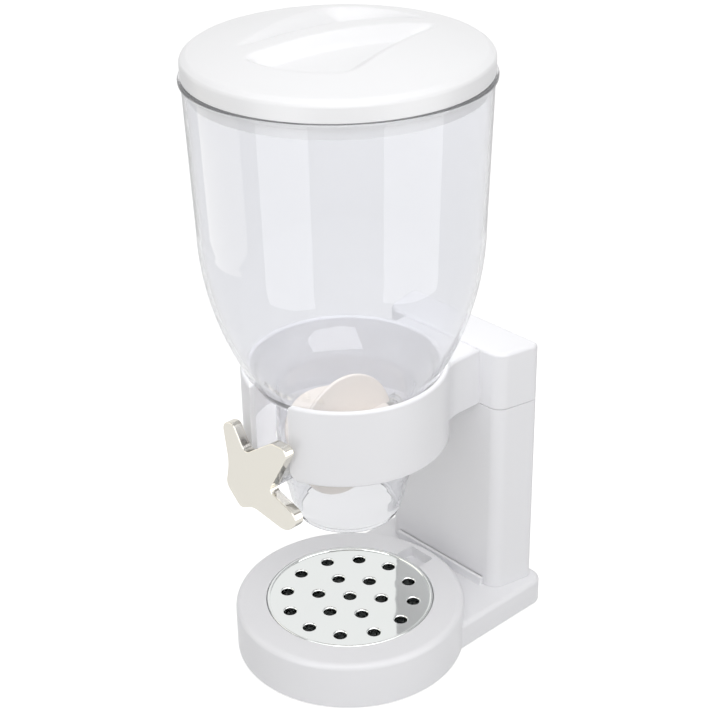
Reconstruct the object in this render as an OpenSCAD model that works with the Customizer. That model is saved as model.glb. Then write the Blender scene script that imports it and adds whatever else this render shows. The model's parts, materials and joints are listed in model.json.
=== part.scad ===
// Countertop cereal dispenser: a clear hopper lifts out of a C-shaped collar on a column,
// and a knob turns a soft paddle wheel in the hopper's neck above a drip tray.
// Origin: middle of the footprint, on the table. X is the width, -Y is the knob side.

/* [Hopper] */
// Outer radius of the hopper's rim flange
flange_r = 85; // [84:0.5:88]
// Height of the flange's top face above the table
flange_z = 372; // [366:1:380]
// Thickness of the flange
flange_t = 2.6; // [2:0.1:3]
// Outer radius of the wall just under the flange
wall_top_r = 83.4; // [83.2:0.1:83.8]
// Outer radius where the wall starts to curve in
wall_low_r = 80.4; // [79.5:0.1:80.8]
// Height where the wall starts to curve in
bowl_z = 285; // [283:1:287]
// Radius of the curve that forms the bottom of the hopper
bowl_curve_r = 178; // [176:1:182]
// Thickness of the clear walls
clear_wall = 2.2; // [1.8:0.1:2.4]
// Outer radius of the neck
neck_r = 41; // [40.8:0.1:41.6]
// Height where the neck starts
neck_z = 180; // [178:1:182]

/* [Spout] */
// Outer radius of the outlet
outlet_r = 30.6; // [29:0.1:32]
// Height of the outlet's lower rim
outlet_z = 98.6; // [94:0.2:100]

/* [Paddle] */
// Height of the paddle's axle
axle_z = 148; // [147:0.5:149]
// Radius of the axle
axle_r = 4; // [3.5:0.1:4.2]
// Sweep radius of the paddle blades
paddle_r = 37.6; // [36:0.1:37.8]
// Number of blades
blade_count = 6; // [4:1:8]
// Thickness of a blade
blade_t = 2.6; // [2:0.1:3.2]
// Turn of the first blade from upright
blade_turn = -5; // [-20:1:20]

/* [Knob] */
// Distance from the hopper axis to the knob's face
knob_face = 67.4; // [67:0.1:70]
// Thickness of the knob
knob_t = 6; // [5:0.1:6]
// Radius of the knob's middle
knob_waist_r = 13.8; // [13:0.1:15]

/* [Collar] */
// Outer radius of the collar
collar_r = 60.4; // [60:0.1:61]
// Thickness of the collar's wall
collar_wall = 3.6; // [3:0.1:3.6]
// Height of the collar's lower edge
collar_low = 149.2; // [147:0.2:151]
// Height of the collar's upper lip
collar_top = 197.2; // [196:0.2:199]
// Width of the gap at the front of the collar
gap_w = 33; // [28:1:36]
// Width of the arm
arm_w = 61.8; // [56:0.2:64]

/* [Column] */
// Width of the column's front
column_front_w = 93.4; // [90:0.2:98]
// Width of the column's back
column_back_w = 105.6; // [100:0.2:108]
// Distance from the hopper axis to the column's front
column_front = 81; // [80.5:0.5:83]
// Depth of the column
column_d = 30.4; // [28:0.2:32]
// Height of the column's top
column_top = 187.4; // [187:0.2:190]
// Wall thickness of the white shells
shell_wall = 2.8; // [2.4:0.1:3]

/* [Base] */
// Radius of the round base
disc_r = 71; // [70:0.5:74]
// Height of the round base
disc_h = 32; // [30:0.5:34]
// Width of the plinth under the column
plinth_w = 118; // [114:1:124]
// Height of the plinth
plinth_h = 18.6; // [18:0.2:20]
// Distance from the hopper axis to the back of the plinth
back_reach = 117; // [116:0.5:120]
// Height that the rubber feet lift the base
foot_lift = 1; // [0.6:0.1:1.5]

/* [Tray] */
// Radius of the tray
tray_r = 51.8; // [50:0.2:52.5]
// Spacing of the tray's rings of holes
hole_pitch = 19.8; // [18:0.2:20]
// Radius of each hole
hole_r = 4.2; // [3:0.1:4.6]
// Turn of the hole pattern
tray_turn = 8.7; // [0:0.1:30]

/* [Lid] */
// Outer radius of the lid
lid_r = 83.6; // [82:0.1:84]
// Height of the lid's edge above the flange
lid_edge_h = 10; // [9:0.5:11]
// Height that the domed middle rises above the lid's edge
lid_crown = 13; // [11:0.5:14]
// Width of the grip bar between the two finger scoops
bar_w = 11; // [9:0.5:16]
// Turn of the grip bar from the X axis
bar_turn = 74; // [0:1:180]

/* [Hidden] */

$fn = 96;
soft_fn = 32;
eps = 0.01;

white = [0.93, 0.93, 0.94];
clear = [0.80, 0.84, 0.88, 0.4];
silver = [0.75, 0.75, 0.77];
beige = [0.86, 0.80, 0.72];

// The footprint runs from the flange's front to the plinth's back
axis_y = -(back_reach - flange_r) / 2;

// Hopper and spout
neck_low = 132;
cone_start = 187;
bowl_steps = 16;
sleeve_r = neck_r + 0.05;
sleeve_top = 138;
boss_r = 9;
front_boss = 57.4;
rear_boss = 45;
bush_r = 6.5;
bush_flange_r = 8.5;
bush_flange_t = 1.4;
axle_gap = 0.06;

// Axle and knob
axle_front = knob_face - 3;
axle_back = rear_boss + 5.5;
hub_r = 8;
hub_half = 33;
sleeve_t = 1.4;
clip_r = 6.6;
clip_t = 1;
clip_groove = 0.6;
clip_y = rear_boss + bush_flange_t + 0.6;
knob_hub_r = 7.5;
knob_hub_back = 60;
knob_skin = 2;
pin_r = 1;
lobes = [[-24.2, 18.4, 6.6], [17, 20.2, 7.9], [23.4, -18, 7.6], [-20.6, -21.2, 6.4]];
knob_middle = [-4, 1.5];
knob_cheeks = [[-14.5, -2, 14], [0, -11, 14.4], [-21.8, 6.8, 8.4], [12, -17.4, 8.8]];

// Collar, arm and column
arm_top = 186.7;
arm_fillet = 24;
ledge_r = 44;
ledge_t = 2.4;
axle_slot_w = 21;
axle_slot_back = 52.5;
gap_corner_r = 7;
split_z = 149.2;
split_gap = 0.4;
column_front_r = 9;
column_back_r = 4;
column_back = column_front + column_d;
cover_t = 2.6;
cover_gap = 0.15;
edge_r = 2.4;

// Screws
screw_r = 1.5;
screw_head_r = 3;
screw_head_t = 2;
screw_clear_r = 1.8;
screw_boss_r = 4;
arm_screws = [for (x = [-20, 20], z = [159, 178]) [x, z]];
column_screw_spots = [for (x = [-26, 26], y = [88, 103]) [x, y]];
cap_screw_spots = [for (x = [-40, 40]) [x, 96]];
cover_screw_spots = [for (x = [-36, 36], z = [34, 132]) [x, z]];

// Base and tray
base_wall = 2.8;
disc_edge_r = 4;
plinth_corner_r = 10;
plinth_edge_r = 3;
tray_gap = 0.3;
tray_ledge = 27;
well_r = 48;
well_floor = 12;
notch_x = [-11, 9];
notch_back = 64.5;
notch_floor = 24.6;
lip_half_w = 38;
lip_t = 2.8;
lip_h = 6;
foot_r = 8;
foot_t = 3.4;
foot_spots = [[-40, -42], [40, -42], [-48, 30], [48, 30], [-44, 104], [44, 104]];
tray_plate_t = 1.2;
bead_r = 1;
dimple_h = 0.8;

// Lid
lid_t = 2.4;
lid_edge_r = 3.4;
dome_steps = 10;
plug_r = 80.2;
plug_t = 2;
plug_depth = 9;
gasket_r = 80.6;
gasket_h = 2.4;
gasket_z = flange_z - 5;
scoop_r = 57.5;
scoop_turn = 31;
scoop_reach = 38.6;
scoop_floor = lid_edge_h + lid_crown - 9;

// ---------- shared shapes ----------

// Moves a piece from the hopper's axis to the part's frame
module at_axis() {
    translate([0, axis_y, 0]) children();
}

// A cylinder along +Y, from y0 to y1
module along_y(r, y0, y1) {
    translate([0, y0, 0]) rotate([-90, 0, 0]) cylinder(r = r, h = y1 - y0);
}

// A round post with a rounded top edge
module post(r, h, edge) {
    rotate_extrude($fn = soft_fn) {
        square([r, h - edge]);
        square([r - edge, h]);
        translate([r - edge, h - edge]) intersection() {
            circle(r = edge, $fn = soft_fn);
            square(edge);
        }
    }
}

// A block with round corners and a rounded top edge; each spot is [x, y, corner radius]
module soft_block(spots, h, edge) {
    hull() for (s = spots) translate([s[0], s[1], 0]) post(s[2], h, edge);
}

// Corner posts of the column, drawn in by inset
function column_spots(inset) = [
    for (side = [-1, 1]) each [
        [side * (column_front_w / 2 - column_front_r), column_front + column_front_r,
            column_front_r - inset],
        [side * (column_back_w / 2 - column_back_r), column_back - column_back_r,
            max(column_back_r - inset, 1)]
    ]
];

// Plan of the column as a flat outline
module column_plan(inset) {
    hull() for (s = column_spots(inset)) translate([s[0], s[1]]) circle(r = s[2], $fn = soft_fn);
}

// A screw that points along +Z, with its head's underside at z = 0
module screw(length) {
    cylinder(r = screw_r, h = length, $fn = 24);
    translate([0, 0, -screw_head_t]) cylinder(r = screw_head_r, h = screw_head_t, $fn = 24);
}

// ---------- base ----------

module base_solid() {
    rotate_extrude() {
        translate([0, foot_lift]) square([disc_r, disc_h - foot_lift - disc_edge_r]);
        translate([0, foot_lift]) square([disc_r - disc_edge_r, disc_h - foot_lift]);
        translate([disc_r - disc_edge_r, disc_h - disc_edge_r]) circle(r = disc_edge_r);
    }
    corner_x = plinth_w / 2 - plinth_corner_r;
    translate([0, 0, foot_lift]) soft_block([
        for (x = [-corner_x, corner_x], y = [30, back_reach - plinth_corner_r])
            [x, y, plinth_corner_r]
    ], plinth_h - foot_lift, plinth_edge_r);
}

module base_hollow() {
    cylinder(r = disc_r - base_wall, h = disc_h - base_wall);
    translate([-plinth_w / 2 + base_wall, 30, 0])
        cube([plinth_w - 2 * base_wall, back_reach - 30 - base_wall, plinth_h - base_wall]);
}

module base_shell() color(white) at_axis() difference() {
    union() {
        difference() {
            base_solid();
            base_hollow();
        }
        // Cup that catches the crumbs under the tray
        translate([0, 0, well_floor - base_wall])
            cylinder(r = tray_r + tray_gap + base_wall, h = disc_h - base_wall / 2 - well_floor + base_wall);
        // Walls round the finger notch
        translate([notch_x[0] - base_wall, tray_r - 6, notch_floor - base_wall])
            cube([notch_x[1] - notch_x[0] + 2 * base_wall, notch_back - tray_r + 6 + base_wall,
                disc_h - notch_floor]);
        // Pads that hold the feet
        for (s = foot_spots) translate([s[0], s[1], foot_lift])
            cylinder(r = foot_r + 2, h = plinth_h - foot_lift - 1);
        // Bosses that the column's screws pass through
        for (s = column_screw_spots) translate([s[0], s[1], plinth_h - 6])
            cylinder(r = screw_boss_r, h = 5);
        // Low lip in front of the column's foot
        translate([-lip_half_w, column_front - lip_t, plinth_h - 1])
            cube([2 * lip_half_w, lip_t - 0.2, lip_h + 1]);
    }
    translate([0, 0, tray_ledge]) cylinder(r = tray_r + tray_gap, h = disc_h);
    translate([0, 0, well_floor]) cylinder(r = well_r, h = disc_h);
    translate([notch_x[0], tray_r - 6, notch_floor])
        cube([notch_x[1] - notch_x[0], notch_back - tray_r + 6, disc_h]);
    for (s = foot_spots) translate([s[0], s[1], 0]) cylinder(r = foot_r, h = foot_t);
    for (s = column_screw_spots) translate([s[0], s[1], plinth_h - 7])
        cylinder(r = screw_clear_r, h = 20);
}

module rubber_feet() color("dimgray") at_axis()
    for (s = foot_spots) translate([s[0], s[1], 0]) cylinder(r = foot_r, h = foot_t, $fn = 48);

module column_screws() color("silver") at_axis()
    for (s = column_screw_spots) translate([s[0], s[1], plinth_h - 6]) screw(16);

// ---------- column ----------

module column_shell() color(white) at_axis() difference() {
    union() {
        difference() {
            translate([0, 0, plinth_h]) linear_extrude(split_z - plinth_h) column_plan(0);
            translate([0, 0, plinth_h + shell_wall])
                linear_extrude(split_z - plinth_h - 2 * shell_wall) column_plan(shell_wall);
            // Opening that the back cover fills
            translate([-column_back_w / 2 + column_back_r + 1, column_back - cover_t - 2, plinth_h + shell_wall])
                cube([column_back_w - 2 * column_back_r - 2, cover_t + 3,
                    split_z - plinth_h - 2 * shell_wall]);
        }
        for (s = column_screw_spots) translate([s[0], s[1], plinth_h])
            cylinder(r = screw_boss_r, h = 14);
        for (s = cover_screw_spots) translate([s[0], 0, s[1]])
            along_y(screw_boss_r, column_front + 1, column_back - cover_t);
    }
    for (s = column_screw_spots) translate([s[0], s[1], plinth_h - 1])
        cylinder(r = screw_r, h = 12.5);
    for (s = cap_screw_spots) translate([s[0], s[1], split_z - 5]) cylinder(r = screw_clear_r, h = 6);
    for (s = cover_screw_spots) translate([s[0], 0, s[1]])
        along_y(screw_r, column_back - 16, column_back + 1);
}

module column_back_cover() color(white) at_axis() {
    half_w = column_back_w / 2 - column_back_r - 1 - cover_gap;
    low = plinth_h + shell_wall + cover_gap;
    high = split_z - shell_wall - cover_gap;
    difference() {
        translate([-half_w, column_back - cover_t, low]) cube([2 * half_w, cover_t, high - low]);
        for (s = cover_screw_spots) translate([s[0], 0, s[1]]) {
            along_y(screw_clear_r, column_back - 5, column_back + 1);
            along_y(screw_head_r + 0.2, column_back - 1.4, column_back + 1);
        }
    }
}

module cover_screws() color("silver") at_axis()
    for (s = cover_screw_spots) translate([s[0], column_back - 1.4, s[1]])
        rotate([90, 0, 0]) flat_screw(12);

// A screw with a thin head, as the back cover has
module flat_screw(length) {
    cylinder(r = screw_r, h = length, $fn = 24);
    translate([0, 0, -1.2]) cylinder(r = screw_head_r, h = 1.2, $fn = 24);
}

module column_cap() color(white) at_axis() difference() {
    union() {
        difference() {
            translate([0, 0, split_z + split_gap]) soft_block(column_spots(0),
                column_top - split_z - split_gap, edge_r);
            translate([0, 0, split_z - 1])
                linear_extrude(column_top - split_z - shell_wall + 1) column_plan(shell_wall);
        }
        for (s = cap_screw_spots) translate([s[0], s[1], split_z])
            cylinder(r = screw_boss_r, h = column_top - split_z - 1);
    }
    for (s = cap_screw_spots) translate([s[0], s[1], split_z - 1]) cylinder(r = screw_r, h = 15);
    for (s = arm_screws) translate([s[0], 0, s[1]])
        along_y(screw_clear_r, column_front - 1, column_front + shell_wall + 1);
}

module cap_screws() color("silver") at_axis()
    for (s = cap_screw_spots) translate([s[0], s[1], split_z - shell_wall]) screw(12);

module collar_screws() color("silver") at_axis()
    for (s = arm_screws) translate([s[0], column_front + shell_wall, s[1]])
        rotate([90, 0, 0]) screw(14);

// ---------- collar ----------

module collar_ring_profile() {
    lip = collar_wall / 2;
    translate([collar_r - collar_wall, collar_low])
        square([collar_wall, collar_top - collar_low - lip]);
    translate([collar_r - lip, collar_top - lip]) circle(r = lip);
    // Ledge round the hopper's neck
    translate([ledge_r, collar_low]) square([collar_r - ledge_r - eps, ledge_t]);
}

// Plan of the arm, with a round inside corner where each side meets the ring
module arm_plan() {
    half = arm_w / 2;
    corner_x = half + arm_fillet;
    corner_y = sqrt(pow(collar_r + arm_fillet, 2) - pow(corner_x, 2));
    touch = collar_r / (collar_r + arm_fillet);
    translate([-half, 40]) square([arm_w, column_front - 40]);
    for (side = [0, 1]) mirror([side, 0]) difference() {
        polygon([
            [half - 1, corner_y], [corner_x, corner_y],
            [corner_x * touch, corner_y * touch], [half - 1, 45]
        ]);
        translate([corner_x, corner_y]) circle(r = arm_fillet);
    }
}

module collar() color(white) at_axis() difference() {
    union() {
        rotate_extrude() collar_ring_profile();
        difference() {
            translate([0, 0, collar_low]) linear_extrude(arm_top - collar_low) arm_plan();
            // The arm is a hollow box, open towards the column
            translate([-arm_w / 2 + shell_wall, collar_r, collar_low + shell_wall])
                cube([arm_w - 2 * shell_wall, column_front, arm_top - collar_low - 2 * shell_wall]);
        }
        for (s = arm_screws) translate([s[0], 0, s[1]])
            along_y(screw_boss_r, collar_r - 5, column_front);
    }
    // Clears the hopper above the ledge, its neck, and the back of the axle as the hopper lifts out
    translate([0, 0, collar_low + ledge_t]) cylinder(r = collar_r - collar_wall, h = 60);
    translate([0, 0, collar_low - 1]) cylinder(r = ledge_r, h = 60);
    translate([-axle_slot_w / 2, 0, collar_low - 1]) cube([axle_slot_w, axle_slot_back, 60]);
    // Gap at the front
    translate([-gap_w / 2, -collar_r - 1, collar_low - 1]) cube([gap_w, 20, 60]);
    for (side = [-1, 1]) translate([side * gap_w / 2, 0, collar_low]) gap_corner(side);
    for (s = arm_screws) translate([s[0], 0, s[1]])
        along_y(screw_r, column_front - 12, column_front + 1);
}

// Cut that rounds the ring's lower corner beside the gap
module gap_corner(side) {
    translate([side > 0 ? 0 : -gap_corner_r, -collar_r - 1, 0]) difference() {
        translate([side > 0 ? -1 : 0, 0, -1]) cube([gap_corner_r + 1, 10.4, gap_corner_r + 1]);
        translate([side > 0 ? gap_corner_r : 0, 0, gap_corner_r]) along_y(gap_corner_r, -1, 11);
    }
}

// ---------- tray ----------

function hole_spots() = concat(
    [[0, 0]],
    [for (i = [0 : 5]) hole_pitch * [cos(30 + 60 * i + tray_turn), sin(30 + 60 * i + tray_turn)]],
    [for (i = [0 : 11]) 2 * hole_pitch * [cos(30 * i + tray_turn), sin(30 * i + tray_turn)]]
);

module drip_tray() color(silver) at_axis() {
    plate_top = disc_h - 1;
    difference() {
        union() {
            translate([0, 0, plate_top - tray_plate_t]) cylinder(r = tray_r - 1, h = tray_plate_t);
            rotate_extrude() {
                translate([tray_r - 1.4, tray_ledge]) square([1.4, plate_top - tray_ledge]);
                translate([tray_r - bead_r, plate_top]) circle(r = bead_r, $fn = soft_fn);
            }
        }
        for (s = hole_spots()) translate([s[0], s[1], plate_top - tray_plate_t - 1]) {
            cylinder(r = hole_r, h = 5, $fn = 48);
            translate([0, 0, tray_plate_t + 1 - dimple_h])
                cylinder(r1 = hole_r, r2 = hole_r + dimple_h + eps, h = dimple_h + eps, $fn = 48);
        }
    }
}

// ---------- hopper ----------

// Outer radius of the hopper's curved bottom at height z
function bowl_r(z) = wall_low_r - bowl_curve_r + sqrt(pow(bowl_curve_r, 2) - pow(bowl_z - z, 2));

// Points down the curved bottom, drawn in by inset
function bowl_points(inset) = [
    for (i = [0 : bowl_steps])
        let (z = bowl_z - (bowl_z - cone_start) * i / bowl_steps) [bowl_r(z) - inset, z]
];

module hopper_profile() {
    outer = concat([[wall_top_r, flange_z]], bowl_points(0), [[neck_r, neck_z], [neck_r, neck_low]]);
    inner = concat([[wall_top_r - clear_wall, flange_z]], bowl_points(clear_wall * 1.1),
        [[neck_r - clear_wall, neck_z + 1], [neck_r - clear_wall, neck_low]]);
    polygon(concat(outer, [for (i = [len(inner) - 1 : -1 : 0]) inner[i]]));
    translate([wall_top_r - 1, flange_z - flange_t]) square([flange_r - wall_top_r + 1, flange_t]);
}

module hopper() color(clear) at_axis() difference() {
    union() {
        rotate_extrude() hopper_profile();
        translate([0, 0, axle_z]) difference() {
            union() {
                along_y(boss_r, -front_boss, -neck_r + clear_wall);
                along_y(boss_r, neck_r - clear_wall, rear_boss);
            }
            translate([0, 0, -boss_r - 1]) cylinder(r = neck_r - clear_wall, h = 2 * boss_r + 2);
        }
    }
    translate([0, 0, axle_z]) along_y(bush_r, -front_boss - 1, rear_boss + 1);
}

module outlet_spout() color(clear) at_axis() rotate_extrude() {
    wall = clear_wall;
    polygon([
        [neck_r + wall, sleeve_top], [neck_r + wall, neck_low - 1], [neck_r - 1, neck_low - 4],
        [35.8, 120], [34.8, 111], [32.8, 104], [outlet_r, outlet_z],
        [outlet_r - 3, outlet_z], [outlet_r - 3, outlet_z + 3], [32.8 - wall, 105],
        [34.8 - wall, 112], [35.8 - wall, 120], [neck_r - 1 - wall, neck_low - 3],
        [neck_r - wall, neck_low], [sleeve_r, neck_low], [sleeve_r, sleeve_top]
    ]);
}

// A flanged bush along +Y with its flange at y = 0 and its sleeve running in +Y
module bush(length) {
    difference() {
        union() {
            along_y(bush_r, 0, length);
            along_y(bush_flange_r, -bush_flange_t, 0);
        }
        along_y(axle_r + axle_gap, -bush_flange_t - 1, length + 1);
    }
}

module front_bush() color("ivory") at_axis() translate([0, -front_boss, axle_z]) bush(18.4);

module rear_bush() color("ivory") at_axis() translate([0, rear_boss, axle_z]) rotate([0, 0, 180])
    bush(6);

// ---------- lid ----------

// Points over the dome, from its edge to the middle
function dome_points(r, top) = [
    for (i = [0 : dome_steps])
        let (d = (r - lid_edge_r) * (1 - i / dome_steps)) [d, top - lid_crown * pow(d / r, 2)]
];

module lid_profile(inset) {
    r = lid_r - inset;
    round_r = lid_edge_r - inset / 2;
    dome = dome_points(r, lid_edge_h + lid_crown - inset);
    corner = [r - round_r, dome[0][1] - round_r];
    square([r, corner[1]]);
    polygon(concat([[0, 0], [dome[0][0], 0]], dome));
    translate(corner) intersection() {
        circle(r = round_r);
        translate([-round_r, 0]) square(2 * round_r);
    }
}

// Finger space beside the grip bar: round on the outside, straight along the bar and at one end
module scoop(grow) {
    intersection() {
        translate([0, 0, scoop_floor - grow]) cylinder(r = scoop_r + grow, h = 40);
        translate([-90, grow - bar_w / 2 - 90, 0]) cube([180, 90, 60]);
        rotate([0, 0, scoop_turn]) translate([-90, -scoop_reach - grow, 0]) cube([180, 180, 60]);
    }
}

module lid_shell() color(white) at_axis() translate([0, 0, flange_z]) rotate([0, 0, bar_turn])
    difference() {
        rotate_extrude() lid_profile(0);
        difference() {
            translate([0, 0, -eps]) rotate_extrude() lid_profile(lid_t);
            for (turn = [0, 180]) rotate([0, 0, turn]) scoop(lid_t);
        }
        for (turn = [0, 180]) rotate([0, 0, turn]) scoop(0);
    }

module lid_plug() color(white) at_axis() translate([0, 0, flange_z]) rotate_extrude() difference() {
    translate([plug_r - plug_t, -plug_depth]) square([plug_t, plug_depth + lid_edge_h - lid_t]);
    translate([plug_r - 0.8, gasket_z - flange_z]) square([2, gasket_h]);
}

module lid_gasket() color("gainsboro") at_axis() translate([0, 0, gasket_z]) difference() {
    cylinder(r = gasket_r, h = gasket_h);
    translate([0, 0, -1]) cylinder(r = plug_r - 0.8, h = gasket_h + 2);
}

// ---------- paddle and knob ----------

module on_axle() {
    at_axis() translate([0, 0, axle_z]) children();
}

module axle() color("silver") on_axle() difference() {
    along_y(axle_r, -axle_front, axle_back);
    translate([0, clip_y, 0]) difference() {
        along_y(axle_r + 1, 0, clip_t);
        along_y(axle_r - clip_groove, -1, clip_t + 1);
    }
    translate([0, -axle_front + 2.4, -10]) cylinder(r = pin_r, h = 20, $fn = 24);
}

module axle_clip() color("dimgray") on_axle() translate([0, clip_y, 0]) difference() {
    along_y(clip_r, 0, clip_t);
    along_y(axle_r - clip_groove, -1, clip_t + 1);
    translate([-1.8, -1, -clip_r - 1]) cube([3.6, clip_t + 2, clip_r + 1]);
}

module paddle_hub() color(white) on_axle() difference() {
    along_y(hub_r, -hub_half, hub_half);
    along_y(axle_r, -hub_half - 1, hub_half + 1);
}

module paddle_blades() color(beige) on_axle() difference() {
    union() {
        along_y(hub_r + sleeve_t, -hub_half + 1, hub_half - 1);
        intersection() {
            sphere(r = paddle_r);
            for (i = [0 : blade_count - 1]) rotate([0, blade_turn + 360 * i / blade_count, 0])
                translate([-blade_t / 2, -paddle_r, 0]) cube([blade_t, 2 * paddle_r, paddle_r]);
        }
    }
    along_y(hub_r, -paddle_r - 1, paddle_r + 1);
}

// Outline of the four-lobed knob, seen from the front
module knob_outline() {
    translate(knob_middle) circle(r = knob_waist_r);
    for (p = concat(lobes, knob_cheeks)) translate([p[0], p[1]]) circle(r = p[2]);
    for (p = lobes) knob_web(p);
}

// A strip from the middle of the knob to a lobe
module knob_web(p) {
    half_w = p[2] - 1;
    rotate(atan2(p[1], p[0])) translate([0, -half_w]) square([norm([p[0], p[1]]), 2 * half_w]);
}

module knob_shell() color(silver) on_axle() difference() {
    translate([0, -knob_face + knob_t, 0]) rotate([90, 0, 0]) linear_extrude(knob_t) knob_outline();
    along_y(knob_hub_r, -knob_face + knob_skin, 0);
}

module knob_hub() color("dimgray") on_axle() difference() {
    along_y(knob_hub_r, -knob_face + knob_skin, -knob_hub_back);
    along_y(axle_r, -axle_front, 0);
    translate([0, -axle_front + 2.4, -10]) cylinder(r = pin_r, h = 20, $fn = 24);
}

module knob_pin() color("silver") on_axle()
    translate([0, -axle_front + 2.4, -knob_hub_r + 0.4])
        cylinder(r = pin_r, h = 2 * knob_hub_r - 0.8, $fn = 24);

base_shell();
rubber_feet();
column_shell();
column_back_cover();
column_cap();
collar();
column_screws();
cap_screws();
collar_screws();
cover_screws();
drip_tray();
hopper();
outlet_spout();
front_bush();
rear_bush();
lid_shell();
lid_plug();
lid_gasket();
axle();
axle_clip();
paddle_hub();
paddle_blades();
knob_shell();
knob_hub();
knob_pin();
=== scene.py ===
import json
import math

import bmesh
import bpy
from mathutils import Matrix, Vector


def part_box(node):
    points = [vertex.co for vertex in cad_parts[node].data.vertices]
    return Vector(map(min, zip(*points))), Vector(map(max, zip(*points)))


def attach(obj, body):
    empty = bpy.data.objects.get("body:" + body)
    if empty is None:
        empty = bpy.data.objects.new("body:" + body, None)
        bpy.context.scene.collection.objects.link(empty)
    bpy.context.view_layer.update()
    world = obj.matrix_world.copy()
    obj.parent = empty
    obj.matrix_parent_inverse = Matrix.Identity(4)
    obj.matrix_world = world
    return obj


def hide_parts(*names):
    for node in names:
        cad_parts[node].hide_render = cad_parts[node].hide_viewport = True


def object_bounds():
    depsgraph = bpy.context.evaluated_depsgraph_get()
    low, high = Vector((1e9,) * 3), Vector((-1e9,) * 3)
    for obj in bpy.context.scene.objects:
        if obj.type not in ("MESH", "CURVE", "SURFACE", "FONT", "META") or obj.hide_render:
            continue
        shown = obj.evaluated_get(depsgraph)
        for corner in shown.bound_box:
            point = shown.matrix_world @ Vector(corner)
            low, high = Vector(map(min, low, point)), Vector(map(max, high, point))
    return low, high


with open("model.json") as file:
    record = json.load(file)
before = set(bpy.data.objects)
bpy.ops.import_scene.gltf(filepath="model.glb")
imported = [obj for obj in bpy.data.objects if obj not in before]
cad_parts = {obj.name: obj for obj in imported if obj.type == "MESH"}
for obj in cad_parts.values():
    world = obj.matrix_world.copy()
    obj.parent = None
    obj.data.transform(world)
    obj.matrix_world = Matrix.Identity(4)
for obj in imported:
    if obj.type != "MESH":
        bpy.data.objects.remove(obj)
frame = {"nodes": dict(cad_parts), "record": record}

cad_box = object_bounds()
NODES = frame["nodes"]
MM = 0.001
TURN = 2 * math.pi
QUARTER = math.pi / 2
FINE = 192
COARSE = 40


# ---------- camera, floor and light ----------

CAMERA_AT = Vector((0.6334, -0.5863, 0.6563))
CAMERA_LENS = 83.92
LOOK_AZIMUTH = math.radians(47.408)
LOOK_ELEVATION = math.radians(28.282)
LOOK_ROLL = math.radians(-1.017)

AIM_HEIGHT = 0.25
SKY_SEEN = 1.0
SKY_LIGHT = 0.56
FLOOR_R = 4
FLOOR_GLOW_SEEN = 0.65
FLOOR_GLOW_MIRRORED = 0.4

# Name, turn from the camera's side in degrees, reach, height, size, power, colour, lights matt surfaces
PANELS = (
    ("top_panel", 10, 0.25, 1.5, (1.8, 1.8), 7.0, (1, 1, 1), True),
    ("front_panel", 5, 1.2, 1.1, (1.4, 1.0), 9, (1, 1, 1), True),
    ("back_card", 180, 1.5, 0.8, (2.6, 1.8), 6, (1, 1, 1), False),
    ("hopper_panel", 0, 0.0, 0.35, (0.1, 0.1), 0.14, (1, 1, 1), True),
    ("left_card", -39, 0.45, 0.25, (0.29, 0.5), 0.7, (1, 1, 1), False),
    ("right_card", 51, 0.45, 0.25, (0.38, 0.5), 0.9, (1, 1, 1), False),
    ("far_left_card", -95, 0.6, 0.25, (0.5, 0.6), 0.8, (1, 0.96, 0.86), False),
)


def add_camera():
    """The camera looks along an azimuth and an elevation, with a slight roll."""
    back = Vector((
        math.sin(LOOK_AZIMUTH) * math.cos(LOOK_ELEVATION),
        -math.cos(LOOK_AZIMUTH) * math.cos(LOOK_ELEVATION),
        math.sin(LOOK_ELEVATION),
    ))
    right = Vector((0, 0, 1)).cross(back).normalized()
    turn = Matrix((right, back.cross(right), back)).transposed()
    turn = turn @ Matrix.Rotation(LOOK_ROLL, 3, "Z")
    data = bpy.data.cameras.new("camera")
    data.lens = CAMERA_LENS
    data.sensor_width = 36
    data.clip_start = 0.01
    data.clip_end = 50
    camera = bpy.data.objects.new("camera", data)
    camera.matrix_world = Matrix.Translation(CAMERA_AT) @ turn.to_4x4()
    bpy.context.scene.collection.objects.link(camera)
    bpy.context.scene.camera = camera


def add_panel(name, turn, reach, height, size, power, colour, lights_matt):
    """A soft panel light that faces the object and never shows itself."""
    data = bpy.data.lights.new(name, "AREA")
    data.shape = "RECTANGLE"
    data.size, data.size_y = size
    data.energy = power
    data.color = colour
    light = bpy.data.objects.new(name, data)
    bearing = LOOK_AZIMUTH + math.radians(turn)
    light.location = (reach * math.sin(bearing), -reach * math.cos(bearing), height)
    aim = Vector((0, 0, min(height, AIM_HEIGHT))) - light.location
    light.rotation_euler = aim.to_track_quat("-Z", "Y").to_euler()
    light.visible_camera = False
    light.visible_transmission = False
    light.visible_diffuse = lights_matt
    bpy.context.scene.collection.objects.link(light)


def ray_kind(tree, *kinds):
    """1 for rays of these kinds, 0 for the rest."""
    path = tree.nodes.new("ShaderNodeLightPath")
    total = path.outputs[kinds[0]]
    for kind in kinds[1:]:
        both = tree.nodes.new("ShaderNodeMath")
        both.operation = "MAXIMUM"
        tree.links.new(total, both.inputs[0])
        tree.links.new(path.outputs[kind], both.inputs[1])
        total = both.outputs["Value"]
    return total


def ramp_to(tree, factor, low, high, socket):
    """Drives a socket from low, where factor is 0, to high, where it is 1."""
    node = tree.nodes.new("ShaderNodeMapRange")
    node.inputs["To Min"].default_value = low
    node.inputs["To Max"].default_value = high
    tree.links.new(factor, node.inputs["Value"])
    tree.links.new(node.outputs["Result"], socket)


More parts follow.
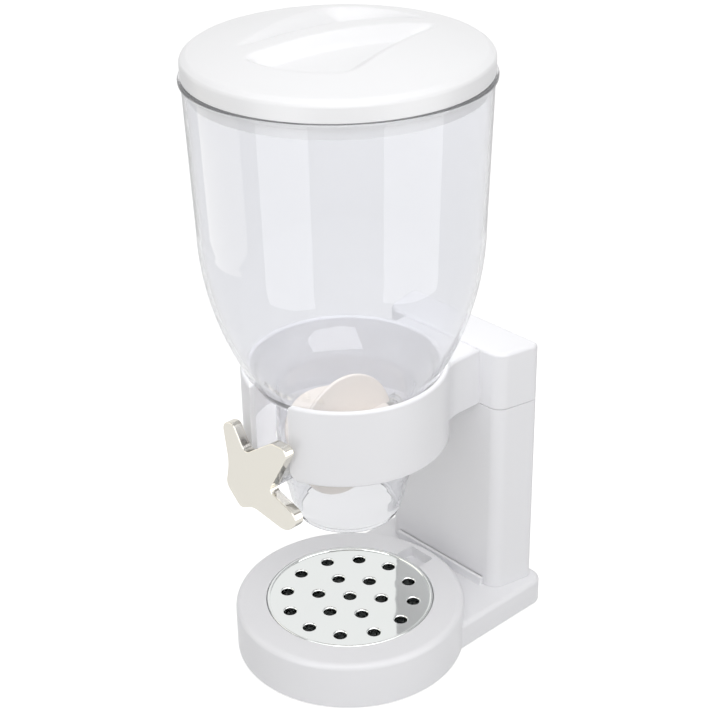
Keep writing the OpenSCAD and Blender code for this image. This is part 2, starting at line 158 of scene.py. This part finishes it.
def add_studio():
    """A white room with a large overhead panel and cards round the front of the object."""
    world = bpy.data.worlds.new("studio")
    world.use_nodes = True
    tree = world.node_tree
    sky = tree.nodes["Background"]
    sky.inputs["Color"].default_value = (1, 1, 1, 1)
    seen = ray_kind(tree, "Is Camera Ray", "Is Transmission Ray")
    ramp_to(tree, seen, SKY_LIGHT, SKY_SEEN, sky.inputs["Strength"])
    bpy.context.scene.world = world
    for panel in PANELS:
        add_panel(*panel)


def add_floor():
    """A wide pale floor under the object."""
    mesh = bpy.data.meshes.new("floor")
    maker = bmesh.new()
    bmesh.ops.create_circle(maker, cap_ends=True, radius=FLOOR_R, segments=96)
    maker.to_mesh(mesh)
    maker.free()
    floor = bpy.data.objects.new("floor", mesh)
    floor.location.z = cad_box[0][2]
    bpy.context.scene.collection.objects.link(floor)
    mesh.materials.append(floor_white())


# ---------- materials ----------

def blank(name):
    """A new material with its tree, its Principled shader and object coordinates in metres."""
    material = bpy.data.materials.new(name)
    material.use_nodes = True
    tree = material.node_tree
    shader = tree.nodes["Principled BSDF"]
    place = tree.nodes.new("ShaderNodeTexCoord").outputs["Object"]
    return material, tree, shader, place


def noise(tree, place, scale, detail=3):
    """Object-space noise, values about 0 to 1."""
    node = tree.nodes.new("ShaderNodeTexNoise")
    node.inputs["Scale"].default_value = scale
    node.inputs["Detail"].default_value = detail
    tree.links.new(place, node.inputs["Vector"])
    return node.outputs["Fac"]


def tint(tree, value, dark, light, shader):
    """Colour that drifts between two close shades."""
    node = tree.nodes.new("ShaderNodeMix")
    node.data_type = "RGBA"
    node.inputs["A"].default_value = (*dark, 1)
    node.inputs["B"].default_value = (*light, 1)
    tree.links.new(value, node.inputs["Factor"])
    tree.links.new(node.outputs["Result"], shader.inputs["Base Color"])


def bump(tree, value, shader, strength, distance):
    """Fine relief from noise."""
    node = tree.nodes.new("ShaderNodeBump")
    node.inputs["Strength"].default_value = strength
    node.inputs["Distance"].default_value = distance
    tree.links.new(value, node.inputs["Height"])
    tree.links.new(node.outputs["Normal"], shader.inputs["Normal"])


def moulded(name, dark, light, rough, grain=300):
    """Injection-moulded plastic or rubber: slight shade drift, uneven gloss and a fine skin."""
    material, tree, shader, place = blank(name)
    tint(tree, noise(tree, place, 14), dark, light, shader)
    ramp_to(tree, noise(tree, place, 35), *rough, shader.inputs["Roughness"])
    bump(tree, noise(tree, place, grain, 2), shader, 0.3, 0.015 * MM)
    return material


def clear(name, tone, rough):
    """Crystal-clear moulded plastic with a faint haze and flow ripple."""
    material, tree, shader, place = blank(name)
    shader.inputs["Transmission Weight"].default_value = 0.94
    shader.inputs["IOR"].default_value = 1.49
    paler = tuple(part + 0.02 for part in tone)
    tint(tree, noise(tree, place, 9), tone, paler, shader)
    ramp_to(tree, noise(tree, place, 40), *rough, shader.inputs["Roughness"])
    bump(tree, noise(tree, place, 60, 1), shader, 0.05, 0.1 * MM)
    let_lamps_through(tree, shader, tone)
    return material


def let_lamps_through(tree, shader, tone):
    """Lamp light and soft bounced light cross the clear plastic without bending."""
    thin = tree.nodes.new("ShaderNodeBsdfTransparent")
    thin.inputs["Color"].default_value = (*(part ** 0.1 for part in tone), 1)
    shown = shader
    for kind in ("Is Shadow Ray", "Is Diffuse Ray"):
        choose = tree.nodes.new("ShaderNodeMixShader")
        tree.links.new(ray_kind(tree, kind), choose.inputs[0])
        tree.links.new(shown.outputs[0], choose.inputs[1])
        tree.links.new(thin.outputs[0], choose.inputs[2])
        shown = choose
    tree.links.new(shown.outputs[0], tree.nodes["Material Output"].inputs["Surface"])


def plated(name, dark, light, rough):
    """Bright metal or metal plating with a slight haze."""
    material, tree, shader, place = blank(name)
    shader.inputs["Metallic"].default_value = 1
    tint(tree, noise(tree, place, 20), dark, light, shader)
    ramp_to(tree, noise(tree, place, 60), *rough, shader.inputs["Roughness"])
    bump(tree, noise(tree, place, 300, 2), shader, 0.2, 0.004 * MM)
    return material


def floor_white():
    """Matt pale floor that glows a little, so that it ends in the same white as the sky."""
    material, tree, shader, place = blank("floor_white")
    tint(tree, noise(tree, place, 3), (0.6, 0.6, 0.6), (0.62, 0.62, 0.62), shader)
    ramp_to(tree, noise(tree, place, 20), 0.7, 0.8, shader.inputs["Roughness"])
    shader.inputs["Emission Color"].default_value = (1, 1, 1, 1)
    total = tree.nodes.new("ShaderNodeMath")
    seen = ray_kind(tree, "Is Camera Ray")
    mirrored = ray_kind(tree, "Is Transmission Ray", "Is Glossy Ray")
    ramp_to(tree, seen, 0.0, FLOOR_GLOW_SEEN, total.inputs[0])
    ramp_to(tree, mirrored, 0.0, FLOOR_GLOW_MIRRORED, total.inputs[1])
    tree.links.new(total.outputs["Value"], shader.inputs["Emission Strength"])
    return material


# Slot: kind of material, its shades, its smoothest and roughest gloss, and a grain finer than usual
SHADES = {
    "white_plastic": (moulded, (0.80, 0.80, 0.82), (0.82, 0.82, 0.84), (0.27, 0.31)),
    "lid_plastic": (moulded, (0.82, 0.82, 0.83), (0.84, 0.84, 0.85), (0.26, 0.34)),
    "clear_plastic": (clear, (0.885, 0.89, 0.912), (0.0, 0.012)),
    "chrome_plate": (plated, (0.82, 0.84, 0.83), (0.85, 0.87, 0.86), (0.03, 0.06)),
    "knob_chrome": (plated, (0.74, 0.715, 0.65), (0.77, 0.745, 0.68), (0.04, 0.08)),
    "blade_silicone": (moulded, (0.88, 0.82, 0.76), (0.92, 0.86, 0.80), (0.45, 0.55), 500),
    "gasket_silicone": (moulded, (0.78, 0.78, 0.78), (0.82, 0.82, 0.82), (0.45, 0.55), 500),
    "foot_rubber": (moulded, (0.045, 0.045, 0.048), (0.06, 0.06, 0.063), (0.6, 0.75), 500),
    "bush_nylon": (moulded, (0.76, 0.75, 0.72), (0.80, 0.79, 0.76), (0.38, 0.46), 700),
    "screw_steel": (plated, (0.52, 0.52, 0.53), (0.62, 0.62, 0.63), (0.22, 0.32)),
}
LOOKS = {slot: kind(slot, *values) for slot, (kind, *values) in SHADES.items()}


def dress_nodes():
    """Gives every CAD node the look of its material slot."""
    for row in frame["record"]["subparts"]:
        mesh = NODES[row["node"]].data
        mesh.materials.clear()
        mesh.materials.append(LOOKS[row["material_slot"]])


# ---------- places and sizes from the frame, in millimetres ----------

def centre_of(node):
    low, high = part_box(node)
    return (low + high) / 2


AXIS = Vector((centre_of("lid_shell").x, centre_of("lid_shell").y, 0))
AXLE = Vector((AXIS.x, AXIS.y, centre_of("axle").z))


def ends(node, side):
    """Where a node starts and ends along X, Y or Z, counted from the hopper's axis."""
    part = "XYZ".index(side)
    return [round((corner[part] - AXIS[part]) / MM, 1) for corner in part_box(node)]


FLANGE_R = ends("hopper", "X")[1]
FLANGE_TOP = ends("hopper", "Z")[1]
SPOUT_LOW, SPOUT_TOP = ends("outlet_spout", "Z")
COLLAR_R = ends("collar", "X")[1]
COLLAR_LOW, COLLAR_TOP = ends("collar", "Z")
COLUMN_HALF = ends("column_shell", "X")[1]
COLUMN_FRONT, COLUMN_BACK = ends("column_shell", "Y")
COLUMN_LOW, COLUMN_TOP = ends("column_shell", "Z")
CAP_TOP = ends("column_cap", "Z")[1]
BASE_R = ends("base_shell", "X")[1]
BASE_BACK = ends("base_shell", "Y")[1]
BASE_LOW, BASE_TOP = ends("base_shell", "Z")
TRAY_R = ends("drip_tray", "X")[1]
TRAY_LOW, TRAY_TOP = ends("drip_tray", "Z")
LID_R = ends("lid_shell", "X")[1]
LID_TOP = ends("lid_shell", "Z")[1]
KNOB_FRONT, KNOB_BACK = ends("knob_shell", "Y")
AXLE_UP = AXLE.z / MM


# ---------- building pieces ----------

def settle(name, maker, body, slot, node, at):
    """Turns a bmesh in millimetres into a finished piece that rides on a body and stands for a CAD node."""
    bmesh.ops.recalc_face_normals(maker, faces=maker.faces)
    bmesh.ops.scale(maker, vec=(MM, MM, MM), verts=maker.verts)
    bmesh.ops.translate(maker, vec=at, verts=maker.verts)
    mesh = bpy.data.meshes.new(name)
    maker.to_mesh(mesh)
    maker.free()
    mesh.polygons.foreach_set("use_smooth", [True] * len(mesh.polygons))
    mesh.set_sharp_from_angle(angle=math.radians(35))
    mesh.materials.append(LOOKS[slot])
    piece = bpy.data.objects.new(name, mesh)
    bpy.context.scene.collection.objects.link(piece)
    level = piece.modifiers.new("flat faces stay flat", "WEIGHTED_NORMAL")
    level.keep_sharp = True
    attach(piece, body)
    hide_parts(node)


def carve(maker, *steps):
    """Applies exact booleans to a bmesh; each step is (operation, bmesh)."""
    body = as_object(maker)
    for operation, other in steps:
        tool = as_object(other)
        change = body.modifiers.new("carve", "BOOLEAN")
        change.solver = "EXACT"
        change.operation = operation
        change.object = tool
        shown = body.evaluated_get(bpy.context.evaluated_depsgraph_get())
        mesh = bpy.data.meshes.new_from_object(shown)
        bpy.data.objects.remove(tool)
        body.modifiers.clear()
        body.data = mesh
    result = bmesh.new()
    result.from_mesh(body.data)
    bpy.data.objects.remove(body)
    return result


def as_object(maker):
    bmesh.ops.recalc_face_normals(maker, faces=maker.faces)
    mesh = bpy.data.meshes.new("tool")
    maker.to_mesh(mesh)
    maker.free()
    thing = bpy.data.objects.new("tool", mesh)
    bpy.context.scene.collection.objects.link(thing)
    return thing


def joined(makers):
    """One bmesh from several."""
    whole = bmesh.new()
    for maker in makers:
        mesh = bpy.data.meshes.new("part")
        maker.to_mesh(mesh)
        maker.free()
        whole.from_mesh(mesh)
        bpy.data.meshes.remove(mesh)
    return whole


def turned(maker, angle, axis):
    turn = Matrix.Rotation(angle, 3, axis)
    bmesh.ops.rotate(maker, cent=(0, 0, 0), matrix=turn, verts=maker.verts)
    return maker


def moved(maker, x, y, z):
    bmesh.ops.translate(maker, vec=(x, y, z), verts=maker.verts)
    return maker


def circle(radius, steps):
    """Points once round a circle about the origin."""
    angles = [TURN * k / steps for k in range(steps)]
    return [(radius * math.cos(a), radius * math.sin(a)) for a in angles]


def arc(x, y, radius, start, end, steps):
    """Points on a circle from one angle to another, in degrees."""
    angles = [math.radians(start + (end - start) * k / steps) for k in range(steps + 1)]
    return [(x + radius * math.cos(a), y + radius * math.sin(a)) for a in angles]


def rounded(corners, steps=6):
    """A closed outline through corners (x, y, radius), each drawn as an arc."""
    outline = []
    for i, (x, y, radius) in enumerate(corners):
        here = Vector((x, y))
        back = Vector(corners[i - 1][:2]) - here
        ahead = Vector(corners[(i + 1) % len(corners)][:2]) - here
        half = back.angle(ahead) / 2
        if radius <= 0:
            outline.append((x, y))
            continue
        reach = min(radius / math.tan(half), 0.49 * back.length, 0.49 * ahead.length)
        radius = reach * math.tan(half)
        middle = here + (back.normalized() + ahead.normalized()).normalized() * radius / math.sin(half)
        start = here + back.normalized() * reach - middle
        end = here + ahead.normalized() * reach - middle
        sweep = -start.angle_signed(end)
        for k in range(steps + 1):
            outline.append(tuple(middle + Matrix.Rotation(sweep * k / steps, 2) @ start))
    return outline


def lathe(outline, turns=144, closed=True):
    """A bmesh turned from an outline of (radius, height) points about Z."""
    maker = bmesh.new()
    rings = []
    for r, z in outline:
        if r == 0:
            rings.append([maker.verts.new((0, 0, z))] * turns)
        else:
            rings.append([maker.verts.new((x, y, z)) for x, y in circle(r, turns)])
    skin(maker, rings, closed)
    return maker


def drum(radius, low, high, turns):
    """A closed round bmesh along Z."""
    return lathe([(0, low), (radius, low), (radius, high), (0, high)], turns, False)


def rod(radius, y_low, y_high):
    """A closed round bmesh along Y."""
    outline = [(0, -y_high), (radius, -y_high), (radius, -y_low), (0, -y_low)]
    return turned(lathe(outline, 48, False), QUARTER, "X")


def skin(maker, rings, closed):
    """Faces between neighbouring rings of the same length."""
    pairs = list(zip(rings, rings[1:]))
    if closed:
        pairs.append((rings[-1], rings[0]))
    for one, two in pairs:
        for k in range(len(one)):
            j = (k + 1) % len(one)
            corners = []
            for corner in (one[k], one[j], two[j], two[k]):
                if corner not in corners:
                    corners.append(corner)
            if len(corners) > 2:
                maker.faces.new(corners)


def slab(outline, low, high, low_edge=0.0, high_edge=0.0, steps=4):
    """A bmesh with this anticlockwise plan, its lower and upper edges rounded."""
    bends = [(math.sin(a), math.cos(a)) for a in (QUARTER * k / steps for k in range(steps + 1))]
    levels = [(low, 0)]
    if low_edge > 0:
        levels = [(low + low_edge * (1 - s), low_edge * (1 - c)) for s, c in reversed(bends)]
    if high_edge > 0:
        levels += [(high - high_edge * (1 - s), high_edge * (1 - c)) for s, c in bends]
    else:
        levels.append((high, 0))
    maker = bmesh.new()
    rings = []
    for z, inset in levels:
        rings.append([maker.verts.new((x, y, z)) for x, y in drawn_in(outline, inset)])
    skin(maker, rings, False)
    maker.faces.new(rings[0])
    maker.faces.new(rings[-1])
    return maker


def drawn_in(outline, inset):
    """The outline moved inwards along its corner normals."""
    drawn = []
    for i, point in enumerate(outline):
        back = (Vector(point) - Vector(outline[i - 1])).normalized()
        ahead = (Vector(outline[(i + 1) % len(outline)]) - Vector(point)).normalized()
        along = (back + ahead).normalized()
        stretch = inset / max(along.dot(ahead), 0.5)
        drawn.append((point[0] - along.y * stretch, point[1] + along.x * stretch))
    return drawn


# ---------- hopper and spout ----------

WALL = 2.2
NECK_R = 41.0
NECK_TOP = 180.5
RIM_T = 2.6
BOWL_TOP = 285.0
BOWL_LOW = 188.0
BOWL_TOP_R = 80.4
BOWL_CURVE_R = 178.0
BOWL_STEPS = 28
BOSS_R = 9.0
BORE_R = 6.55
BUSH_FLANGE = 1.4
FRONT_BOSS = ends("front_bush", "Y")[0] + BUSH_FLANGE
REAR_BOSS = ends("rear_bush", "Y")[1] - BUSH_FLANGE

# Radius of the spout's outside and height above its mouth
SPOUT_SIDE = ((41, 39.4), (40.9, 35.4), (39.6, 29.9), (37.3, 23.9), (35.9, 17.4), (34.6, 10.9), (32.6, 4.6))
# The same round the mouth, with each corner's radius
SPOUT_MOUTH = ((31.6, 2, 2), (30.6, 0, 1), (27.6, 0, 1), (28.8, 3.6, 2))


def bowl_r(z):
    """Outer radius of the hopper's curved bottom."""
    return BOWL_TOP_R - BOWL_CURVE_R + math.sqrt(BOWL_CURVE_R ** 2 - (BOWL_TOP - z) ** 2)


def build_hopper():
    """Rim flange, drafted wall, curved bottom and neck, with the two bosses that carry the paddle."""
    heights = [BOWL_TOP - (BOWL_TOP - BOWL_LOW) * k / BOWL_STEPS for k in range(BOWL_STEPS + 1)]
    bowl = [(bowl_r(z), z) for z in heights]
    low_r, low_z = bowl[-1]
    foot = SPOUT_TOP + 0.2
    neck = rounded([
        (low_r, low_z, 0), (NECK_R, NECK_TOP, 6), (NECK_R, foot, 0.6), (NECK_R - WALL, foot, 0.6),
        (NECK_R - WALL, NECK_TOP + 1.5, 6), (low_r - WALL * 0.8, low_z + WALL * 0.7, 0),
    ])
    inside = [(r - WALL * 1.02, z + WALL * 0.35) for r, z in reversed(bowl[:-1])]
    rim = rounded([
        (FLANGE_R - 3.8, FLANGE_TOP, 0.5), (FLANGE_R, FLANGE_TOP, 1.25),
        (FLANGE_R, FLANGE_TOP - RIM_T, 1.25), (FLANGE_R - 1.5, FLANGE_TOP - RIM_T, 0.5),
    ])
    wall = lathe(inside + rim + bowl + neck[1:-1], FINE)
    bosses = [rod(BOSS_R, FRONT_BOSS, 1 - NECK_R), rod(BOSS_R, NECK_R - 1, REAR_BOSS)]
    bores = [rod(BORE_R, FRONT_BOSS - 2.6, 8 - NECK_R), rod(BORE_R, NECK_R - 8, REAR_BOSS + 2)]
    return carve(
        wall,
        ("UNION", moved(joined(bosses), 0, 0, AXLE_UP)),
        ("DIFFERENCE", moved(joined(bores), 0, 0, AXLE_UP)),
    )


def build_spout():
    """The outlet cup: a smooth waisted wall that rounds in to a rimmed mouth."""
    outside = [(r, SPOUT_LOW + up) for r, up in SPOUT_SIDE]
    inside = [(r - WALL, z + 0.6) for r, z in reversed(outside)]
    mouth = rounded([(r, SPOUT_LOW + up, radius) for r, up, radius in SPOUT_MOUTH])
    return lathe(outside + mouth + inside)


# ---------- stand ----------

COLLAR_WALL = 3.6
LIP_R = 1.78
ARM_HALF = 30.9
ARM_FILLET = 24.0
ARM_TOP = CAP_TOP - 0.7
SINK = 0.5
GAP_HALF = 16.5
GAP_TOP_R = 2
GAP_LOW_R = 7
# Heights well below and above the ring, where the tools that cut it end
CUT_LOW = COLLAR_LOW - 9.2
CUT_TOP = COLLAR_TOP + 12.8
LEDGE_R = 41.5
AXLE_SLOT_HALF = 10.5
AXLE_SLOT_BACK = 52.5
FRONT_HALF = 46.7
SPLIT_GAP = 0.4
SHELL_WALL = 2.8
PLINTH_HALF = 59
PLINTH_FRONT = 30
WELL_R = 48
WELL_FLOOR = 12
NOTCH_LEFT, NOTCH_RIGHT = -11, 9
NOTCH_FRONT, NOTCH_BACK = 44, 64.5
NOTCH_FLOOR = 24.6
FOOT_LIP_HALF = 38


def arm_plan():
    """Plan of the arm, with a wide round inside corner where each side meets the ring."""
    corner_x = ARM_HALF + ARM_FILLET
    corner_y = math.sqrt((COLLAR_R - SINK + ARM_FILLET) ** 2 - corner_x ** 2)
    touch = math.degrees(math.atan2(corner_y, corner_x))
    side = arc(corner_x, corner_y, ARM_FILLET, 180 + touch, 180, 12)
    other_side = [(-x, y) for x, y in reversed(side)]
    return side + [(ARM_HALF, COLUMN_FRONT), (-ARM_HALF, COLUMN_FRONT)] + other_side + [(0, 30)]


def gap_outline():
    """The gap at the front of the ring, seen from the front, with its corners flared out."""
    edge = [(GAP_HALF + 3, CUT_TOP), (GAP_HALF + 2.4, COLLAR_TOP + 0.1)]
    edge += arc(GAP_HALF + GAP_TOP_R, COLLAR_TOP - GAP_TOP_R, GAP_TOP_R, 80, 180, 6)
    edge += arc(GAP_HALF + GAP_LOW_R, COLLAR_LOW + GAP_LOW_R, GAP_LOW_R, 180, 268, 10)
    edge += [(GAP_HALF + GAP_LOW_R, CUT_LOW)]
    return edge[::-1] + [(-x, z) for x, z in edge]


def build_collar():
    """C-shaped ring with a rounded lip and a ledge inside, joined to the column by an arm."""
    inner_r = COLLAR_R - COLLAR_WALL
    ring = lathe(rounded([
        (inner_r, COLLAR_LOW, 0.6), (COLLAR_R, COLLAR_LOW, 1.2),
        (COLLAR_R, COLLAR_TOP, LIP_R), (inner_r, COLLAR_TOP, LIP_R),
    ]), FINE)
    clearance = drum(inner_r + SINK, CUT_LOW, ARM_TOP + 3.3, FINE)
    arm = carve(slab(arm_plan(), COLLAR_LOW + 0.05, ARM_TOP, 0.5, 2.2), ("DIFFERENCE", clearance))
    ledge_low, ledge_top, ledge_out = COLLAR_LOW + 0.1, COLLAR_LOW + 2.4, inner_r + 1.5
    ledge = lathe(rounded([
        (LEDGE_R, ledge_low, 0.4), (ledge_out, ledge_low, 0),
        (ledge_out, ledge_top, 0), (LEDGE_R, ledge_top, 0.4),
    ]), 180)
    slot = [
        (-AXLE_SLOT_HALF, -70), (AXLE_SLOT_HALF, -70),
        (AXLE_SLOT_HALF, AXLE_SLOT_BACK), (-AXLE_SLOT_HALF, AXLE_SLOT_BACK),
    ]
    ledge = carve(ledge, ("DIFFERENCE", slab(slot, CUT_LOW, COLLAR_LOW + 10.8)))
    opening = turned(slab(gap_outline(), inner_r - 4.8, COLLAR_R + 9.6), QUARTER, "X")
    return carve(ring, ("UNION", arm), ("UNION", ledge), ("DIFFERENCE", opening))


def column_plan(inset=0.0):
    """Rounded plan of the column, wider at the back."""
    front_x, front_y, front_r = FRONT_HALF - inset, COLUMN_FRONT + inset, 9 - inset
    back_x, back_y, back_r = COLUMN_HALF - inset, COLUMN_BACK - inset, 4 - inset
    return rounded([
        (front_x, front_y, front_r), (back_x, back_y, back_r),
        (-back_x, back_y, back_r), (-front_x, front_y, front_r),
    ], 10)


def build_column():
    """Hollow column, open at the back for its cover."""
    low, high = COLUMN_LOW + SHELL_WALL, COLUMN_TOP - SHELL_WALL
    half, front, back = COLUMN_HALF - 5, COLUMN_BACK - 11.4, COLUMN_BACK + 1.6
    opening = [(half, front), (half, back), (-half, back), (-half, front)]
    return carve(
        slab(column_plan(), COLUMN_LOW, COLUMN_TOP, 0.4, 0.3),
        ("DIFFERENCE", slab(column_plan(SHELL_WALL), low, high)),
        ("DIFFERENCE", slab(opening, low, high)),
    )


def build_column_top():
    """The block above the column's split line."""
    return slab(column_plan(), COLUMN_TOP + SPLIT_GAP, CAP_TOP, 0.3, 2.4, 6)


def build_base():
    """Round base with a stepped well, a plinth behind it, a finger notch and a low lip."""
    recess_r = TRAY_R + 0.3
    disc = lathe([(0, BASE_LOW)] + rounded([
        (30, BASE_LOW, 0), (BASE_R, BASE_LOW, 0.8), (BASE_R, BASE_TOP, 4), (recess_r, BASE_TOP, 0.5),
        (recess_r, TRAY_LOW, 0.3), (WELL_R, TRAY_LOW, 0.3), (WELL_R, WELL_FLOOR, 1.5), (20, WELL_FLOOR, 0),
    ]) + [(0, WELL_FLOOR)], FINE, False)
    plan = [
        (PLINTH_HALF, PLINTH_FRONT, 10), (PLINTH_HALF, BASE_BACK, 10),
        (-PLINTH_HALF, BASE_BACK, 10), (-PLINTH_HALF, PLINTH_FRONT, 10),
    ]
    plinth = slab(rounded(plan, 8), BASE_LOW, COLUMN_LOW, 0.8, 3)
    plinth = carve(plinth, ("DIFFERENCE", drum(BASE_R - 11, -5, 40, 96)))
    notch = slab(rounded([
        (NOTCH_LEFT, NOTCH_FRONT, 0), (NOTCH_RIGHT, NOTCH_FRONT, 0),
        (NOTCH_RIGHT, NOTCH_BACK, 2), (NOTCH_LEFT, NOTCH_BACK, 2),
    ]), NOTCH_FLOOR, 40, 0.6)
    lip_front, lip_back = COLUMN_FRONT - 2.8, COLUMN_FRONT - 0.2
    lip = slab(rounded([
        (-FOOT_LIP_HALF, lip_front, 1), (FOOT_LIP_HALF, lip_front, 1),
        (FOOT_LIP_HALF, lip_back, 0.4), (-FOOT_LIP_HALF, lip_back, 0.4),
    ]), COLUMN_LOW - 2.6, COLUMN_LOW + 6, 0, 0.8)
    return carve(disc, ("UNION", plinth), ("DIFFERENCE", notch), ("UNION", lip))


# ---------- tray ----------

BEAD_R = 1
HOLE_R = 3.8
HOLE_EDGE_R = 1.2
HOLE_PITCH = 19.8
HOLE_TURN = 8.7
PLATE_TOP = TRAY_TOP - BEAD_R


def hole_spots():
    """Centre, a ring of six and a ring of twelve."""
    spots = [(0.0, 0.0)]
    for ring, count, start in ((1, 6, 30), (2, 12, 0)):
        for i in range(count):
            angle = math.radians(start + 360 * i / count + HOLE_TURN)
            spots.append((ring * HOLE_PITCH * math.cos(angle), ring * HOLE_PITCH * math.sin(angle)))
    return spots


def at_holes(make):
    """The same round shape at every hole."""
    return joined([moved(make(), x, y, 0) for x, y in hole_spots()])


def drill():
    """Cuts a hole with a rolled upper edge."""
    middle, top = HOLE_R + HOLE_EDGE_R, PLATE_TOP - HOLE_EDGE_R
    rolled = [(r, z - 0.02) for r, z in arc(middle, top, HOLE_EDGE_R, 180, 90, 6)]
    outline = [(0, TRAY_LOW), (HOLE_R, TRAY_LOW)] + rolled + [(middle, TRAY_TOP + 1), (0, TRAY_TOP + 1)]
    return lathe(outline, COARSE, False)


def sleeve():
    """Short tube that hangs under a hole."""
    low, high, outer = TRAY_LOW - 6, PLATE_TOP - 2, HOLE_R + 0.8
    outline = rounded([(HOLE_R, low, 0.3), (outer, low, 0.3), (outer, high, 0), (HOLE_R, high, 0)], 3)
    return lathe(outline, COARSE)


def build_tray():
    """Plated disc with a beaded rim and drawn-down holes."""
    underside = PLATE_TOP - 2.4
    plate = [(0, underside), (TRAY_R - 2.2, underside), (TRAY_R - 2.2, TRAY_LOW), (TRAY_R, TRAY_LOW)]
    bead = arc(TRAY_R - BEAD_R, PLATE_TOP, BEAD_R, 0, 180, 10)
    disc = lathe(plate + bead + [(TRAY_R - 2.4, PLATE_TOP - 0.1), (0, PLATE_TOP)], FINE, False)
    return joined([carve(disc, ("DIFFERENCE", at_holes(drill))), at_holes(sleeve)])


# ---------- lid ----------

LID_TURN = math.radians(74)
LID_T = 2.4
LID_TURNS = 288
DOME_RISE = 12.2
RING_STEP = 1.1
RING_COUNT = 73
RIM_EDGE_R = 2.9
SCOOP_R = 57.5
SCOOP_DEPTH = 8.5
SCOOP_REACH = 45
SCOOP_LEAN = 0.6
# Where the grip bar ends on each side of the lid's middle
BAR_EDGES = ((1, 4.0), (-1, 7.0))
# How wide the slope is at the scoop's round side, its straight end and the bar
SLOPES = (8, 14, 7)


def ease(value):
    """A soft step from 0 to 1."""
    value = min(max(value, 0.0), 1.0)
    return value * value * (3 - 2 * value)


def lid_surface(x, y):
    """Height of the domed lid, with a finger scoop on each side of the grip bar."""
    along = x * math.cos(LID_TURN) + y * math.sin(LID_TURN)
    across = -x * math.sin(LID_TURN) + y * math.cos(LID_TURN)
    depth = 0.0
    for side, bar_edge in BAR_EDGES:
        u, v = side * along, side * across
        to_rim = SCOOP_R - math.hypot(u, v)
        to_end = (v + SCOOP_REACH - SCOOP_LEAN * u) / math.hypot(1, SCOOP_LEAN)
        to_bar = -bar_edge - v
        slopes = [ease(gap / width) for gap, width in zip((to_rim, to_end, to_bar), SLOPES)]
        depth += SCOOP_DEPTH * math.prod(slopes)
    return LID_TOP - DOME_RISE * (x * x + y * y) / LID_R ** 2 - depth


def build_lid():
    """A thin moulded dome: top surface, rounded rim and the same surface underneath."""
    maker = bmesh.new()

    def surface_ring(r, drop):
        spots = circle(r, LID_TURNS)
        return [maker.verts.new((x, y, lid_surface(x, y) - drop)) for x, y in spots]

    def surface_middle(drop):
        return [maker.verts.new((0, 0, lid_surface(0, 0) - drop))] * LID_TURNS

    rim = arc(LID_R - RIM_EDGE_R, FLANGE_TOP + 7.9, RIM_EDGE_R, 70, 0, 6) + rounded([
        (LID_R, FLANGE_TOP + 6, 0), (LID_R, FLANGE_TOP + 0.2, 0.6),
        (LID_R - 2.2, FLANGE_TOP + 0.2, 0.4), (LID_R - 2.2, FLANGE_TOP + 7, 0),
    ], 4)
    grid = [RING_STEP * k for k in range(1, RING_COUNT + 1)]
    rings = [surface_middle(0)] + [surface_ring(r, 0) for r in grid]
    for r, z in rim:
        rings.append([maker.verts.new((x, y, z)) for x, y in circle(r, LID_TURNS)])
    rings += [surface_ring(r, LID_T) for r in reversed(grid)] + [surface_middle(LID_T)]
    skin(maker, rings, False)
    return maker


# ---------- knob and paddle ----------

# Corners of the knob's outline and the radius of each, anticlockwise from its left side
KNOB_CORNERS = (
    (-27.5, -2, 30), (-31, -18, 7), (-18.5, -29.5, 5), (-7, -23.5, 14), (22, -27, 12), (35.5, -13.5, 5.5),
    (8, -5.5, 3), (28, 28.5, 5.5), (12, 27.5, 9), (-12, 10.5, 4), (-21.5, 26.5, 4.5), (-31.5, 23.5, 6),
)
SLEEVE_IN, SLEEVE_OUT = 8.05, 9.4
SLEEVE_HALF = 32
BLADE_R = 37.4
BLADE_HALF_T = 1.3
BLADE_EDGE = 1.1
BLADE_COUNT = 6
BLADE_TURN = -5


def build_knob():
    """Four-lobed plate with rolled edges, facing -Y."""
    plate = slab(rounded(KNOB_CORNERS, 10), -KNOB_BACK, -KNOB_FRONT, 0.4, 0.5)
    return turned(plate, QUARTER, "X")


def build_blade(number):
    """A half-round flap with soft edges that stands on the axle."""
    outline = arc(0, 0, BLADE_R, 12, 168, 40)
    blade = slab(outline, -BLADE_HALF_T, BLADE_HALF_T, BLADE_EDGE, BLADE_EDGE)
    blade = turned(turned(blade, QUARTER, "X"), QUARTER, "Z")
    return turned(blade, math.radians(BLADE_TURN + 360 * number / BLADE_COUNT), "Y")


def build_blades():
    """Soft flaps round a sleeve."""
    tube = lathe(rounded([
        (SLEEVE_IN, -SLEEVE_HALF, 0.3), (SLEEVE_OUT, -SLEEVE_HALF, 0.6),
        (SLEEVE_OUT, SLEEVE_HALF, 0.6), (SLEEVE_IN, SLEEVE_HALF, 0.3),
    ], 3), 64)
    return joined([turned(tube, QUARTER, "X")] + [build_blade(i) for i in range(BLADE_COUNT)])


PIECES = (
    ("clear_hopper", build_hopper, "hopper_unit", "clear_plastic", "hopper", AXIS),
    ("clear_spout", build_spout, "hopper_unit", "clear_plastic", "outlet_spout", AXIS),
    ("collar_and_arm", build_collar, "stand", "white_plastic", "collar", AXIS),
    ("column", build_column, "stand", "white_plastic", "column_shell", AXIS),
    ("column_top", build_column_top, "stand", "white_plastic", "column_cap", AXIS),
    ("base", build_base, "stand", "white_plastic", "base_shell", AXIS),
    ("tray", build_tray, "tray", "chrome_plate", "drip_tray", AXIS),
    ("lid_dome", build_lid, "lid", "lid_plastic", "lid_shell", AXIS),
    ("knob", build_knob, "rotor", "knob_chrome", "knob_shell", AXLE),
    ("blades", build_blades, "rotor", "blade_silicone", "paddle_blades", AXLE),
)
for name, build, body, look, node, at in PIECES:
    settle(name, build(), body, look, node, at)


add_camera()
add_floor()
add_studio()
dress_nodes()
bpy.context.scene.view_settings.view_transform = "Standard"
